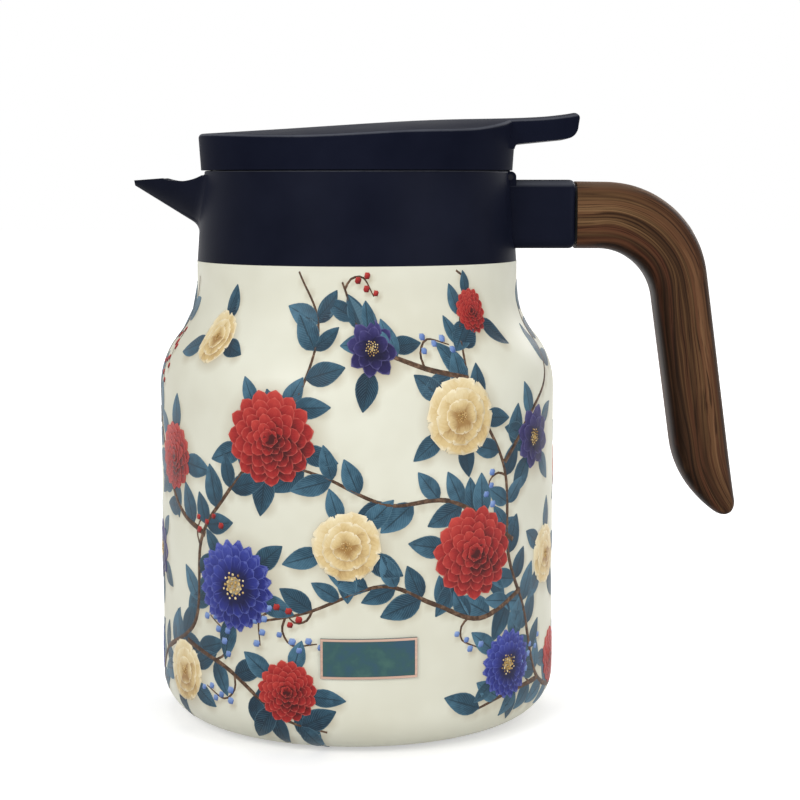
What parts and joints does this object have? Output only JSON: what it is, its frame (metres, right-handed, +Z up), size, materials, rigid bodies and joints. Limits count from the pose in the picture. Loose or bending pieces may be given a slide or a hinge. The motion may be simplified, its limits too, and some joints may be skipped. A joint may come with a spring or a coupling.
{
  "type": "insulated teapot",
  "caption": "Double-walled steel teapot with a narrow neck, a dark collar with a beak spout, a hinged lid with a thumb lever and an open down-curved wooden handle.",
  "frame": {"origin": "middle of the foot pad's lower face, on the pot's axis", "axes": "+Z up along the pot's axis, +X towards the handle, -X towards the spout"},
  "size_m": [0.1908, 0.1256, 0.1907],
  "materials": {
    "enamel": "satin cream enamel with a printed design",
    "steel": "brushed",
    "solder": "fused",
    "moulded": "satin moulded",
    "foot_rubber": "matt",
    "silicone": "matt",
    "grip_wood": "oiled dark wood",
    "washer": "matt",
    "label": "satin with a copper border",
    "plug_plastic": "moulded",
    "black_steel": "black oxide",
    "foam": "closed-cell foam"
  },
  "bodies": {
    "pot": {"outer_shell": "enamel", "shell_bottom": "steel", "vacuum_seal_bead": "solder", "base_cover": "moulded", "base_pad": "foot_rubber", "inner_liner": "steel", "vacuum_getter": "steel", "collar": "moulded", "collar_gasket": "silicone", "hinge_pin": "black_steel", "handle_washer": "washer", "handle_grip": "grip_wood", "handle_tang": "steel", "handle_screws": "steel", "label_plate": "label"},
    "lid": {"lid_cover": "moulded", "lid_inner_plate": "plug_plastic", "lid_plug": "plug_plastic", "lid_insulation": "foam", "lid_seal": "silicone", "lid_screws": "steel"}
  },
  "joints": [
    {"name": "lid_hinge", "type": "hinge", "parent": "pot", "child": "lid", "pos_m": [0.048, 0, 0.1706], "axis": [0, 1, 0], "range_deg": [0, 34]}
  ]
}
